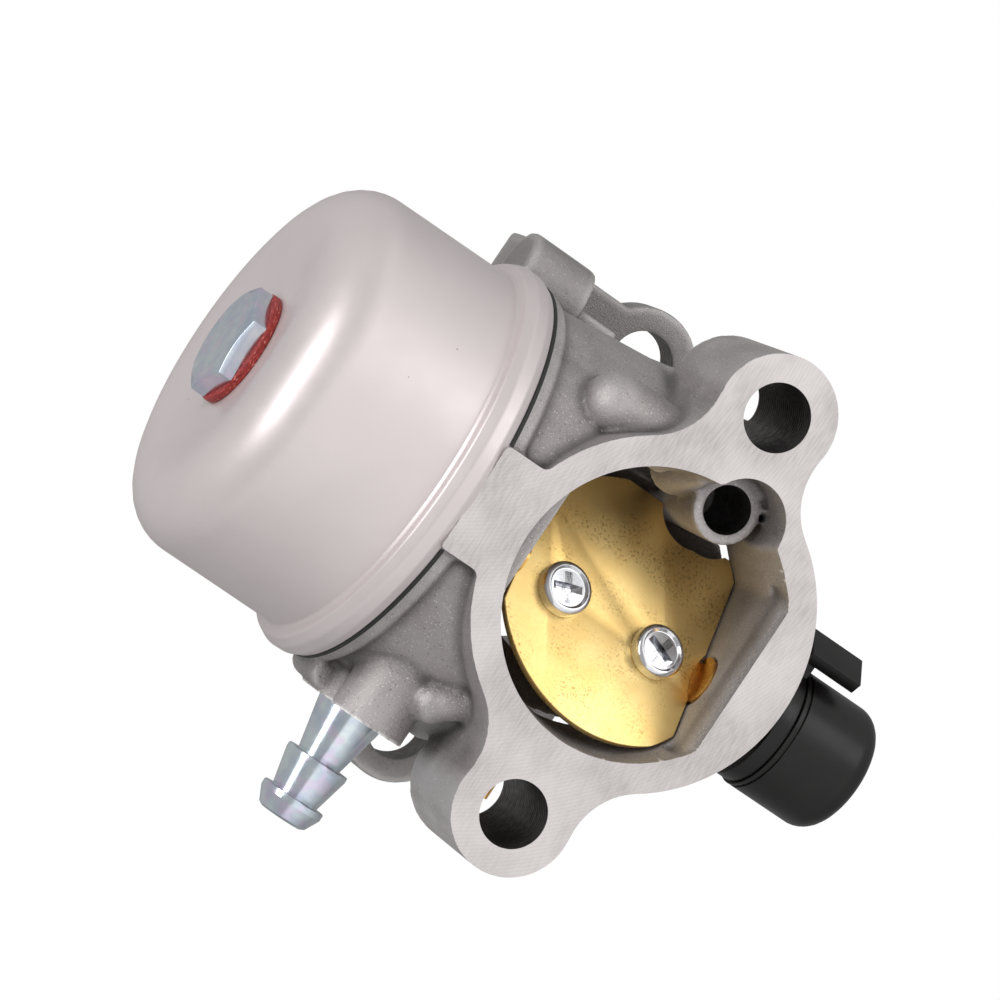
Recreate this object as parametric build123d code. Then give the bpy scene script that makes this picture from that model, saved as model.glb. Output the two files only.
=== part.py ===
from build123d import *
from math import atan2, cos, degrees, hypot, pi, radians, sin, sqrt
import os

# Side-float butterfly carburetor for a small horizontal-shaft engine, in millimetres.
# Origin: centre of the two stud holes, on the engine face of the rear flange.
# +Y points out of the engine face, +Z up, the float bowl hangs towards -Z and
# the fuel enters at +X. The throat runs along Y, from the air face to the engine face.

# ---- driving dimensions ------------------------------------------------------------
BODY_LENGTH = 58.0          # air face to engine face
STUD_X = 28.5               # half of the stud spacing, the same on both flanges
AIR_Y = -BODY_LENGTH
BOWL_Y = -30.5              # float bowl axis
CHOKE_X = 2.6               # choke shaft is set off the throat centre
CHOKE_Y = -48.5
THROTTLE_Y = -13.6

AIR_FLANGE_DEPTH = 19.0
AIR_RING_R = 21.8
AIR_EAR_R = 7.8
AIR_STUD_HOLE_R = 4.3
REAR_FLANGE_DEPTH = 5.5
REAR_RING_R = 19.0
REAR_EAR_R = 7.5
REAR_STUD_HOLE_R = 4.3
EAR_BLEND_R = 9.0

MOUTH_R = 18.2              # opening in the air face
MOUTH_LIP_Z = 15.3          # rounded lip along the flat ceiling
MOUTH_DEPTH = 6.7
CHOKE_BORE_R = 17.2
CHOKE_BORE_TOP_Z = 14.05
CHOKE_BORE_LOW_Z = -14.2
CHOKE_BORE_END_Y = -38.0
VENTURI_R = 12.0
THROTTLE_BORE_R = 13.0
THROTTLE_BORE_START_Y = -26.5

VENT_X = -16.4              # bowl vent boss inside the mouth
VENT_Z = 3.9
VENT_BOSS_R = 4.4
VENT_BORE_R = 3.1
VENT_RECESS = 7.0
VENT_POCKET_R = 5.4

COVER_R = 27.1              # casting rim that closes the bowl
COVER_LOW_WALL_R = 26.1     # the cover's wall leans out towards the top
COVER_HIGH_WALL_R = 27.9
COVER_LOW_Z = -25.25
COVER_STEP_Z = -23.6
COVER_SHOULDER_Z = -6.5
CHAMBER_R = 22.5
CHAMBER_CEILING_Z = -18.8
POST_R = 6.0
POST_LOW_Z = -46.5

GASKET_THICKNESS = 0.55
GASKET_OUTER_R = 27.5
BOWL_OUTER_R = 25.86        # wall, just below the bead
BOWL_FOOT_R = 25.63         # wall, at the bottom corner
BOWL_WALL = 0.95
BOWL_BEAD_R = 28.0
BOWL_BEAD_TOP_R = 27.4
BOWL_BEAD_HEIGHT = 4.3
BOWL_BOTTOM_Z = -53.6
BOWL_SEAT_Z = -52.1         # shallow dish under the bolt
BOWL_CORNER_R = 6.9
DISH_INNER_R = 8.4
BOLT_HOLE_R = 4.2
WASHER_R = 7.65
WASHER_THICKNESS = 1.0
BOLT_ACROSS_FLATS = 13.0
BOLT_HEAD_HEIGHT = 2.4
BOLT_TURN = 3.0             # degrees the tightened hexagon stands round from the X axis
BOLT_SHANK_R = 3.95

FUEL_Y = -33.0              # fuel inlet, valve and float hinge
FUEL_Z = -15.9
INLET_FACE_X = 29.6
SEAT_X = 15.5
HINGE_X = 20.5
HINGE_Z = -28.0
HINGE_PIN_R = 0.8
FLOAT_DROP = 6.0            # degrees between a full bowl and an empty one
RUNNING_GAP = 0.05

SHAFT_CHOKE_R = 3.2
CHOKE_JOURNAL_R = 2.2       # the shaft's lower bearing, below the plate
SHAFT_THROTTLE_R = 3.0
THROTTLE_TRAVEL = 78.0      # degrees from wide open to closed
CHOKE_LEAN = 29.5           # closed plate leans this far from square across the throat
CHOKE_PLATE_R = 17.1
CHOKE_PLATE_TOP_Z = 13.8
CHOKE_PLATE_LOW_Z = -13.7
CHOKE_PLATE_THICKNESS = 1.0
CHOKE_PLATE_SETBACK = 0.2   # shaft axis to the plate's front face
CHOKE_PLATE_SHIFT = 0.3     # shaft axis to the line of the plate's screws
CHOKE_SCREW_Z = 7.25
THROTTLE_PLATE_THICKNESS = 1.2
THROTTLE_SCREW_Z = 6.0

LEVER_BASE_Z = 22.3         # underside of the choke lever's disc
LEVER_BASE_R = 8.2
LEVER_SEAM_Z = 24.5
FINGER_TOP_Z = 30.0
CAP_R = 8.5
CAP_TOP_Z = 37.0
THROTTLE_BOSS_TOP_Z = 18.6
THROTTLE_LEVER_Z = 19.0
THROTTLE_LEVER_THICKNESS = 3.0
IDLE_SCREW_X = -16.7        # where the idle speed screw's head meets its spring
IDLE_SCREW_Y = -27.0
IDLE_SCREW_Z = 20.5


# ---- helpers -----------------------------------------------------------------------
def rod_x(radius, x0, x1, y, z):
    return Pos((x0 + x1) / 2, y, z) * Rot(0, 90, 0) * Cylinder(radius, abs(x1 - x0))


def rod_y(radius, y0, y1, x, z):
    return Pos(x, (y0 + y1) / 2, z) * Rot(90, 0, 0) * Cylinder(radius, abs(y1 - y0))


def rod_z(radius, z0, z1, x, y):
    return Pos(x, y, (z0 + z1) / 2) * Cylinder(radius, abs(z1 - z0))


def block(x0, x1, y0, y1, z0, z1):
    centre = Pos((x0 + x1) / 2, (y0 + y1) / 2, (z0 + z1) / 2)
    return centre * Box(abs(x1 - x0), abs(y1 - y0), abs(z1 - z0))


def round_post(radius, length):
    """A post with a rounded end, standing on z = 0."""
    post = Cylinder(radius, length, align=(Align.CENTER, Align.CENTER, Align.MIN))
    return fillet(post.edges().sort_by(Axis.Z)[-1], 0.95 * radius)


def prism_y(outline, y_front, y_back):
    """An outline drawn as (x, z), pushed from y_back forward to y_front."""
    return extrude(Plane.XZ.offset(-y_back) * outline, y_back - y_front)


def turned(points, x, y):
    """A closed (radius, z) outline turned round the vertical axis at x, y."""
    face = make_face(Polyline(*points, close=True))
    return Pos(x, y, 0) * revolve(Plane.XZ * face, Axis.Z)


def coil_z(mean_r, wire_r, z0, turns, pitch, x, y):
    """A helical spring standing on z0."""
    path = Pos(x, y, z0) * Helix(pitch, pitch * turns, mean_r)
    start = Plane(origin=path @ 0, z_dir=path % 0)
    return sweep(start * Circle(wire_r), path)


def lay_along_x(spring, x, y, z):
    """Turn a spring made at the origin so that it runs towards +X from x."""
    return Pos(x, y, z) * Rot(0, 90, 0) * spring


def rounded_arm(x0, y0, r0, x1, y1, r1):
    """Flat outline of a lever arm: two round ends joined by tangent sides."""
    ends = Pos(x0, y0) * Circle(r0) + Pos(x1, y1) * Circle(r1)
    length = hypot(x1 - x0, y1 - y0)
    along = atan2(y1 - y0, x1 - x0)
    lean = pi / 2 - (r1 - r0) / length
    corners = []
    for x, y, r, side in ((x0, y0, r0, 1), (x1, y1, r1, 1), (x1, y1, r1, -1), (x0, y0, r0, -1)):
        angle = along + side * lean
        corners.append((x + r * cos(angle), y + r * sin(angle)))
    return ends + make_face(Polyline(*corners, close=True))


def ear_blend(ring_r, ear_x, ear_r, blend_r, up):
    """The corner between a ring round the origin and an ear, before its hollow is cut."""
    reach = abs(ear_x)
    to_ring = ring_r + blend_r
    to_ear = ear_r + blend_r
    along = (reach ** 2 + to_ring ** 2 - to_ear ** 2) / (2 * reach)
    rise = sqrt(to_ring ** 2 - along ** 2) * up
    centre = (along if ear_x > 0 else -along, rise)
    corner = make_face(Polyline((0, 0), (ear_x, 0), centre, close=True))
    return corner - Pos(*centre) * Circle(blend_r)


def flange_outline(ring_r, ear_r, blend_r):
    outline = Circle(ring_r)
    for ear_x in (-STUD_X, STUD_X):
        outline += Pos(ear_x, 0) * Circle(ear_r)
        for up in (-1, 1):
            outline += ear_blend(ring_r, ear_x, ear_r, blend_r, up)
    return outline


# ---- body casting ------------------------------------------------------------------
def air_flange():
    outline = flange_outline(AIR_RING_R, AIR_EAR_R, EAR_BLEND_R)
    flange = prism_y(outline, AIR_Y, AIR_Y + AIR_FLANGE_DEPTH)
    foot = block(-7.5, 6.9, AIR_Y, AIR_Y + 8, COVER_LOW_Z, -20)
    return flange + foot


def bowl_cover():
    profile = (
        (0, COVER_LOW_Z),
        (COVER_R, COVER_LOW_Z),
        (COVER_R, COVER_STEP_Z),
        (COVER_LOW_WALL_R, COVER_STEP_Z + 0.3),
        (COVER_HIGH_WALL_R, COVER_SHOULDER_Z),
        (COVER_HIGH_WALL_R - 6.5, COVER_SHOULDER_Z + 6),
        (0, COVER_SHOULDER_Z + 6),
    )
    trim = block(-40, 40, AIR_Y, -0.01, COVER_LOW_Z, 10)
    return turned(profile, 0, BOWL_Y) & trim


def rear_flange():
    outline = flange_outline(REAR_RING_R, REAR_EAR_R, EAR_BLEND_R)
    outline += Pos(-25.5, -11.5) * Rectangle(16, 23)
    outline += Pos(0, -11) * Rectangle(36, 22)
    return prism_y(outline, -REAR_FLANGE_DEPTH, 0)


def bracket_boss():
    boss = rod_z(5.0, -24.2, -14.5, -29.0, -12.0)
    rib = block(-32.4, -25.6, -12, -REAR_FLANGE_DEPTH, -22.5, -14.5)
    wall = block(-29, -16, -15, -9, -22.5, -8)
    return boss + rib + wall


def inlet_boss():
    """Boss for the barb, a round nose in front of it and a lug up to the bowl's rim."""
    boss = rod_x(7.0, 12, INLET_FACE_X, FUEL_Y, FUEL_Z)
    nose = Pos(INLET_FACE_X, FUEL_Y - 10.0, FUEL_Z - 0.3) * Rot(0, -90, 0) * round_post(4.1, 10.4)
    neck = block(20, INLET_FACE_X - 0.2, FUEL_Y - 10.0, FUEL_Y, FUEL_Z - 4.1, FUEL_Z + 3.5)
    lug = block(20, INLET_FACE_X - 0.3, -37, -26, -24.3, FUEL_Z)
    lug = fillet(lug.edges().filter_by(Axis.Y).group_by(Axis.X)[-1].sort_by(Axis.Z)[0], 2.2)
    return boss + nose + neck + lug


def front_thumb():
    """A round-ended column standing out of the cover's wall under the -X ear."""
    return Pos(-19.2, -50.0, -5.0) * Rot(180, 0, 0) * round_post(3.4, 14.4)


def side_knuckle():
    """A smaller round-ended boss on the wall beside the inlet's nose."""
    return Pos(22.9, -39.0, -12.6) * Rot(90, 0, 0) * round_post(2.6, 10.6)


def ear_web():
    """Carries the underside of the -X ear back to the widest part of the cover."""
    outline = flange_outline(AIR_RING_R, AIR_EAR_R, EAR_BLEND_R)
    outline &= Pos(-21.9, 0) * Rectangle(12, 2 * AIR_EAR_R)
    return prism_y(outline, AIR_Y + AIR_FLANGE_DEPTH - 1, BOWL_Y - 1)


def shaft_bosses():
    choke_top = rod_z(6.4, 10, 21.9, CHOKE_X, CHOKE_Y)
    throttle_top = rod_z(5.6, 8, THROTTLE_BOSS_TOP_Z, 0, THROTTLE_Y)
    throttle_low = rod_z(6.0, -20, -10, 0, THROTTLE_Y)
    return choke_top + throttle_top + throttle_low


def idle_bosses():
    lug = block(-12, -6.5, IDLE_SCREW_Y - 3.4, IDLE_SCREW_Y + 3.4, 8, IDLE_SCREW_Z)
    lug += rod_x(3.4, -12, -6.5, IDLE_SCREW_Y, IDLE_SCREW_Z)
    mixture = rod_x(4.6, 12, 21.5, -19.5, 7.0)
    transfer_pad = rod_z(6.4, 10, 16.2, 8.0, -20.5)
    return lug + mixture + transfer_pad


def throat():
    """The hollow along Y: mouth, choke bore, venturi and throttle bore."""
    mouth_side = Plane(origin=(0, AIR_Y, 0), x_dir=(-1, 0, 0), z_dir=(0, 1, 0))
    lean = degrees(atan2(MOUTH_R - CHOKE_BORE_R, MOUTH_DEPTH))
    mouth = extrude(mouth_side * Circle(MOUTH_R), MOUTH_DEPTH, taper=lean)
    mouth &= block(-30, 30, AIR_Y, 1, -30, CHOKE_BORE_TOP_Z)
    pocket = rod_y(VENT_POCKET_R, AIR_Y, AIR_Y + 12, VENT_X + 0.5, VENT_Z)
    profile = (
        (0, AIR_Y + MOUTH_DEPTH - 0.5),
        (CHOKE_BORE_R, AIR_Y + MOUTH_DEPTH - 0.5),
        (CHOKE_BORE_R, CHOKE_BORE_END_Y),
        (13.8, -33.0),
        (VENTURI_R, -29.8),
        (VENTURI_R, -28.5),
        (THROTTLE_BORE_R, THROTTLE_BORE_START_Y),
        (THROTTLE_BORE_R, 0),
        (0, 0),
    )
    waist = revolve(make_face(Polyline(*profile, close=True)), Axis.Y)
    slab = block(-30, 30, AIR_Y, 1, CHOKE_BORE_LOW_Z, CHOKE_BORE_TOP_Z)
    return mouth + mouth_lip() + pocket + (waist & slab)


def mouth_lip():
    """Rounds the edge between the flat ceiling of the mouth and the air face."""
    low = CHOKE_BORE_TOP_Z - 1
    section = (
        (AIR_Y, low),
        (AIR_Y, MOUTH_LIP_Z),
        (AIR_Y + 0.5, MOUTH_LIP_Z - 0.55),
        (AIR_Y + 1.4, MOUTH_LIP_Z - 0.95),
        (AIR_Y + 3.0, CHOKE_BORE_TOP_Z + 0.1),
        (AIR_Y + 5.0, CHOKE_BORE_TOP_Z),
        (AIR_Y + 5.0, low),
    )
    strip = extrude(Plane.YZ * make_face(Polyline(*section, close=True)), 12, both=True)
    return strip & rod_y(MOUTH_R, AIR_Y, AIR_Y + 5, 0, 0)


def vent_boss():
    """The boss and the swelling of the mouth's wall below it."""
    boss = rod_y(VENT_BOSS_R, AIR_Y + VENT_RECESS, -29, VENT_X, VENT_Z)
    swelling = Cone(3.8, 0.8, 11, align=(Align.CENTER, Align.CENTER, Align.MIN))
    return boss + Pos(-17.7, -45.0, -2.6) * Rot(90, 0, 0) * swelling


def float_chamber():
    """The hollow above the bowl, with the centre post and the hinge posts left standing."""
    hollow = rod_z(CHAMBER_R, COVER_LOW_Z, CHAMBER_CEILING_Z, 0, BOWL_Y)
    hollow &= block(-30, 30, AIR_Y + 15, -7, COVER_LOW_Z, CHAMBER_CEILING_Z)
    return hollow


def chamber_posts():
    post = rod_z(POST_R, POST_LOW_Z, CHAMBER_CEILING_Z + 1, 0, BOWL_Y)
    seat_boss = rod_z(5.0, -22.5, CHAMBER_CEILING_Z + 1, SEAT_X, FUEL_Y)
    hinge = []
    for side in (-1, 1):
        y = FUEL_Y + side * 6.75
        hinge.append(block(18.6, 21.9, y - 1.25, y + 1.25, HINGE_Z - 2.0, CHAMBER_CEILING_Z + 1))
    return post + seat_boss + hinge[0] + hinge[1]


def drillings():
    """Stud holes, shaft bores, fuel and air passages."""
    cuts = []
    for x in (-STUD_X, STUD_X):
        cuts.append(rod_y(AIR_STUD_HOLE_R, AIR_Y - 1, -REAR_FLANGE_DEPTH, x, 0))
        cuts.append(rod_y(REAR_STUD_HOLE_R, -REAR_FLANGE_DEPTH - 3, 1, x, 0))
    cuts.append(rod_y(VENT_BORE_R, AIR_Y, -33, VENT_X, VENT_Z))
    cuts.append(rod_z(2.0, CHAMBER_CEILING_Z - 1, VENT_Z, VENT_X, -36))
    cuts.append(rod_z(CHOKE_JOURNAL_R + RUNNING_GAP, -19.0, 0, CHOKE_X, CHOKE_Y))
    cuts.append(rod_z(SHAFT_CHOKE_R + RUNNING_GAP, 0, 30, CHOKE_X, CHOKE_Y))
    cuts.append(rod_z(SHAFT_THROTTLE_R + RUNNING_GAP, -17.3, 30, 0, THROTTLE_Y))
    cuts.append(rod_x(3.0, INLET_FACE_X - 8, INLET_FACE_X + 1, FUEL_Y, FUEL_Z))
    cuts.append(rod_x(1.4, SEAT_X - 1.4, INLET_FACE_X, FUEL_Y, FUEL_Z))
    cuts.append(rod_z(3.2, COVER_LOW_Z, -17.7, SEAT_X, FUEL_Y))
    cuts.append(rod_z(1.2, -18, FUEL_Z, SEAT_X, FUEL_Y))
    cuts.append(rod_y(HINGE_PIN_R, FUEL_Y - 9, FUEL_Y + 9, HINGE_X, HINGE_Z))
    cuts.append(rod_z(BOLT_SHANK_R, POST_LOW_Z - 1, -37, 0, BOWL_Y))
    cuts.append(rod_z(2.6, -38, -34, 0, BOWL_Y))
    cuts.append(rod_z(2.3, -35, -10, 0, BOWL_Y))
    cuts.append(rod_x(1.2, -8, 8, BOWL_Y, -45.2))
    cuts.append(rod_z(1.8, -22, -15.8, -9.5, -20.5))
    cuts.append(rod_x(2.05, -13, -5, IDLE_SCREW_Y, IDLE_SCREW_Z))
    cuts.append(rod_x(2.05, 12.2, 22, -19.5, 7.0))
    cuts.append(rod_z(4.6, 14.7, 17, 8.0, -20.5))
    cuts.append(rod_z(4.0, 13.9, 15, 8.0, -20.5))
    return cuts


def body_casting():
    barrel = rod_y(17.0, AIR_Y + 10, -1, 0, 0)
    body = air_flange() + bowl_cover() + barrel + rear_flange()
    body += bracket_boss() + inlet_boss() + shaft_bosses() + idle_bosses()
    body += ear_web() + front_thumb() + side_knuckle()
    body -= throat()
    body += vent_boss()
    body -= float_chamber()
    body += chamber_posts()
    for cut in drillings():
        body -= cut
    return body.solids().sort_by(SortBy.VOLUME)[-1]


# ---- bowl and its fixings ----------------------------------------------------------
def dish_curve(flat_r, lift):
    """The smooth rise of the bowl's bottom from its corner to the bolt's seat."""
    ends = [(flat_r, BOWL_BOTTOM_Z + lift), (DISH_INNER_R, BOWL_SEAT_Z + lift)]
    return Spline(*ends, tangents=[(-1, 0), (-1, 0)])


def float_bowl():
    """Pressed cup: bead under the rim, straight wall, round corner, bottom dished up at the bolt."""
    top = COVER_LOW_Z - GASKET_THICKNESS
    bead_low = top - BOWL_BEAD_HEIGHT
    inner_top_r = BOWL_OUTER_R - BOWL_WALL
    inner_foot_r = BOWL_FOOT_R - BOWL_WALL
    inner_corner = BOWL_CORNER_R - BOWL_WALL
    corner_z = BOWL_BOTTOM_Z + BOWL_CORNER_R
    flat_r = BOWL_FOOT_R - BOWL_CORNER_R
    bottom_in = BOWL_BOTTOM_Z + BOWL_WALL
    seat_in = BOWL_SEAT_Z + BOWL_WALL
    dish_out, dish_in = dish_curve(flat_r, 0), dish_curve(flat_r, BOWL_WALL)
    diagonal = sin(radians(45))
    outline = [
        Line((inner_top_r, top), (BOWL_BEAD_TOP_R, top)),
        ThreePointArc(
            (BOWL_BEAD_TOP_R, top),
            (BOWL_BEAD_R, (top + bead_low) / 2),
            (BOWL_OUTER_R + 0.5, bead_low + 0.2),
        ),
        Line((BOWL_OUTER_R + 0.5, bead_low + 0.2), (BOWL_OUTER_R, bead_low - 0.2)),
        Line((BOWL_OUTER_R, bead_low - 0.2), (BOWL_FOOT_R, corner_z)),
        ThreePointArc(
            (BOWL_FOOT_R, corner_z),
            (flat_r + BOWL_CORNER_R * diagonal, corner_z - BOWL_CORNER_R * diagonal),
            (flat_r, BOWL_BOTTOM_Z),
        ),
        dish_out,
        Line((DISH_INNER_R, BOWL_SEAT_Z), (BOLT_HOLE_R, BOWL_SEAT_Z)),
        Line((BOLT_HOLE_R, BOWL_SEAT_Z), (BOLT_HOLE_R, seat_in)),
        Line((BOLT_HOLE_R, seat_in), (DISH_INNER_R, seat_in)),
        dish_in,
        ThreePointArc(
            (flat_r, bottom_in),
            (flat_r + inner_corner * diagonal, corner_z - inner_corner * diagonal),
            (inner_foot_r, corner_z),
        ),
        Line((inner_foot_r, corner_z), (inner_top_r, top)),
    ]
    face = make_face(Wire(outline))
    return Pos(0, BOWL_Y, 0) * revolve(Plane.XZ * face, Axis.Z)


def bowl_gasket():
    low = COVER_LOW_Z - GASKET_THICKNESS
    ring = rod_z(GASKET_OUTER_R, low, COVER_LOW_Z, 0, BOWL_Y)
    return ring - rod_z(24.4, low, COVER_LOW_Z, 0, BOWL_Y)


def bowl_bolt_washer():
    top = BOWL_SEAT_Z
    ring = rod_z(WASHER_R, top - WASHER_THICKNESS, top, 0, BOWL_Y)
    return ring - rod_z(BOLT_HOLE_R, top - WASHER_THICKNESS, top, 0, BOWL_Y)


def bowl_bolt():
    seat_z = BOWL_SEAT_Z - WASHER_THICKNESS
    low_z = seat_z - BOLT_HEAD_HEIGHT
    corner_r = BOLT_ACROSS_FLATS / sqrt(3)
    hexagon = Rot(0, 0, BOLT_TURN) * extrude(RegularPolygon(corner_r, 6), BOLT_HEAD_HEIGHT)
    head = Pos(0, BOWL_Y, low_z) * hexagon
    cone = turned(((0, low_z), (6.2, low_z), (8.0, low_z + 0.75), (8.0, seat_z), (0, seat_z)), 0, BOWL_Y)
    return (head & cone) + rod_z(BOLT_SHANK_R, seat_z, -38.0, 0, BOWL_Y)


def fuel_inlet_barb():
    x0 = INLET_FACE_X
    outline = (
        (1.6, x0 - 7.5),
        (2.98, x0 - 7.5),
        (2.98, x0),
        (4.5, x0),
        (3.0, x0 + 7.1),
        (4.25, x0 + 7.1),
        (4.25, x0 + 7.7),
        (3.25, x0 + 12.5),
        (4.3, x0 + 12.5),
        (4.3, x0 + 13.4),
        (3.35, x0 + 15.3),
        (2.8, x0 + 15.6),
        (1.6, x0 + 15.6),
    )
    barb = revolve(Plane.XZ * make_face(Polyline(*outline, close=True)), Axis.Z)
    return Pos(0, FUEL_Y, FUEL_Z) * Rot(0, 90, 0) * barb


# ---- metering parts ----------------------------------------------------------------
def main_jet():
    jet = rod_z(2.55, -36.8, -34.2, 0, BOWL_Y)
    jet -= rod_z(0.55, -37, -34, 0, BOWL_Y)
    slot = block(-2.6, 2.6, BOWL_Y - 0.4, BOWL_Y + 0.4, -36.8, -36.0)
    return jet - slot


def main_nozzle():
    tube = rod_z(2.28, -33.9, -31.0, 0, BOWL_Y) + rod_z(1.8, -31.0, -16.0, 0, BOWL_Y)
    tube += rod_z(2.28, -16.0, -10.0, 0, BOWL_Y)
    tube -= rod_z(1.1, -34, -9, 0, BOWL_Y)
    for row in range(4):
        z = -29 + row * 3.2
        tube -= rod_x(0.4, -3, 3, BOWL_Y, z)
        tube -= rod_y(0.4, BOWL_Y - 3, BOWL_Y + 3, 0, z + 1.6)
    return tube


def idle_jet():
    jet = rod_z(1.78, -21.6, -16.0, -9.5, -20.5) + rod_z(2.6, -21.6, -19.1, -9.5, -20.5)
    jet -= rod_z(0.45, -22, -15, -9.5, -20.5)
    return jet - block(-12.2, -6.8, -20.9, -20.1, -21.6, -20.8)


def inlet_valve_seat():
    seat = rod_z(3.18, -24.4, -17.75, SEAT_X, FUEL_Y)
    seat -= rod_z(1.62, -24.6, -20.0, SEAT_X, FUEL_Y)
    return seat - rod_z(0.9, -21, -17, SEAT_X, FUEL_Y)


def inlet_needle():
    """The needle as it hangs when the bowl is empty, just off its seat."""
    lift = (HINGE_X - SEAT_X) * sin(radians(FLOAT_DROP))
    tip_z = -19.85 - lift
    profile = (
        (0, tip_z),
        (0.5, tip_z - 0.35),
        (1.1, tip_z - 1.6),
        (1.55, tip_z - 1.75),
        (1.55, tip_z - 5.6),
        (0.8, tip_z - 6.0),
        (0.8, -28.62 - lift),
        (0, -28.62 - lift),
    )
    return turned(profile, SEAT_X, FUEL_Y)


def float_ring():
    """Hollow plastic float, its hinge barrel and the tang under the needle, at rest."""
    ring = rod_z(20.8, -43, -31, 0, BOWL_Y)
    ring = fillet(ring.edges().filter_by(GeomType.CIRCLE), 1.5)
    ring -= rod_z(9.2, -44, -30, 0, BOWL_Y)
    arm = block(12.0, 19.4, FUEL_Y - 4.6, FUEL_Y + 4.6, -31.5, -28.76)
    arm += block(18.0, 20.5, FUEL_Y - 5.2, FUEL_Y + 5.2, -31.0, HINGE_Z)
    arm += rod_y(1.7, FUEL_Y - 5.2, FUEL_Y + 5.2, HINGE_X, HINGE_Z)
    body = ring + arm
    body -= rod_y(HINGE_PIN_R + RUNNING_GAP, FUEL_Y - 6, FUEL_Y + 6, HINGE_X, HINGE_Z)
    hinge = Pos(HINGE_X, FUEL_Y, HINGE_Z)
    return hinge * Rot(0, -FLOAT_DROP, 0) * hinge.inverse() * body


def float_hinge_pin():
    return rod_y(HINGE_PIN_R - 0.01, FUEL_Y - 8.6, FUEL_Y + 8.6, HINGE_X, HINGE_Z)


# ---- choke -------------------------------------------------------------------------
def leaned(shape):
    """Put a choke part drawn about the origin on the shaft, at the closed plate's lean."""
    return Pos(CHOKE_X, CHOKE_Y, 0) * Rot(0, 0, -CHOKE_LEAN) * shape


def choke_shaft():
    back = CHOKE_PLATE_SETBACK + CHOKE_PLATE_THICKNESS
    shaft = rod_z(SHAFT_CHOKE_R, CHOKE_PLATE_LOW_Z - 0.1, 31.0, 0, 0)
    shaft += rod_z(CHOKE_JOURNAL_R, -18.6, CHOKE_PLATE_LOW_Z - 0.1, 0, 0)
    shaft -= block(-5, 5, -5, back, CHOKE_PLATE_LOW_Z - 0.1, CHOKE_PLATE_TOP_Z + 0.1)
    for z in (-CHOKE_SCREW_Z, CHOKE_SCREW_Z):
        shaft -= rod_y(1.5, -5, 5, CHOKE_PLATE_SHIFT, z)
    groove = rod_z(SHAFT_CHOKE_R + 1, 29.2, 30.0, 0, 0)
    shaft -= groove - rod_z(SHAFT_CHOKE_R - 0.6, 29, 30.2, 0, 0)
    return leaned(shaft)


def choke_plate_outline():
    """Drawn in the plate, u across the throat from the screws' line and v up."""
    disc = Pos(-2.7, 1.4) * Circle(CHOKE_PLATE_R)
    height = CHOKE_PLATE_TOP_Z - CHOKE_PLATE_LOW_Z
    middle = (CHOKE_PLATE_TOP_Z + CHOKE_PLATE_LOW_Z) / 2
    outline = disc & Pos(20 - 18.75, middle) * Rectangle(40, height)
    top_corner = outline.vertices().group_by(Axis.Y)[-1].sort_by(Axis.X)[-1]
    outline = fillet(top_corner, 2.5)
    horn = ((-12, 9), (-12, CHOKE_PLATE_TOP_Z), (-15.4, CHOKE_PLATE_TOP_Z), (-16.7, 13.2), (-17.3, 12.1), (-17.3, 9))
    outline += make_face(Polyline(*horn, close=True))
    outline -= Pos(-19.6, 5.3) * Circle(4.5) + Pos(-20.4, 7.4) * Circle(5.0)
    return outline - Pos(-0.6, CHOKE_PLATE_TOP_Z + 6.4) * Circle(7.2)


def choke_plate():
    front = CHOKE_PLATE_SETBACK
    plate = prism_y(choke_plate_outline(), front, front + CHOKE_PLATE_THICKNESS)
    for z in (-CHOKE_SCREW_Z, CHOKE_SCREW_Z):
        plate -= rod_y(1.6, front - 1, 4, 0, z)
    plate = leaned(Pos(CHOKE_PLATE_SHIFT, 0, 0) * plate)
    return plate & rod_y(CHOKE_BORE_R - 0.12, AIR_Y, BOWL_Y, 0, 0)


def pan_screw(head_r, head_height, shank_r, length):
    """A cross-recessed pan screw whose head stands up from z = 0."""
    head = Cylinder(head_r, head_height, align=(Align.CENTER, Align.CENTER, Align.MIN))
    head = fillet(head.edges().sort_by(Axis.Z)[-1], head_height * 0.42)
    recess = Box(head_r * 1.15, 0.75, 2.4) + Box(0.75, head_r * 1.15, 2.4)
    head -= Pos(0, 0, head_height) * recess
    shank = Cylinder(shank_r, length, align=(Align.CENTER, Align.CENTER, Align.MAX))
    return head + shank


def choke_plate_screws():
    screw = pan_screw(3.4, 1.9, 1.48, 3.4)
    pair = []
    for z, turn in ((-CHOKE_SCREW_Z, 20), (CHOKE_SCREW_Z, 65)):
        seated = Pos(CHOKE_PLATE_SHIFT, CHOKE_PLATE_SETBACK, z) * Rot(90, 0, 0) * Rot(0, 0, turn)
        pair.append(leaned(seated * screw))
    return Compound(children=pair)


def choke_shaft_clip():
    ring = rod_z(4.6, 29.3, 29.9, 0, 0) - rod_z(SHAFT_CHOKE_R - 0.55, 29, 30.2, 0, 0)
    return leaned(ring - block(-1.6, 1.6, 0, 6, 29, 30.2))


def choke_shaft_seal():
    ring = rod_z(5.6, 21.9, 22.25, CHOKE_X, CHOKE_Y)
    return ring - rod_z(SHAFT_CHOKE_R + 0.08, 21, 23, CHOKE_X, CHOKE_Y)


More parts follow.
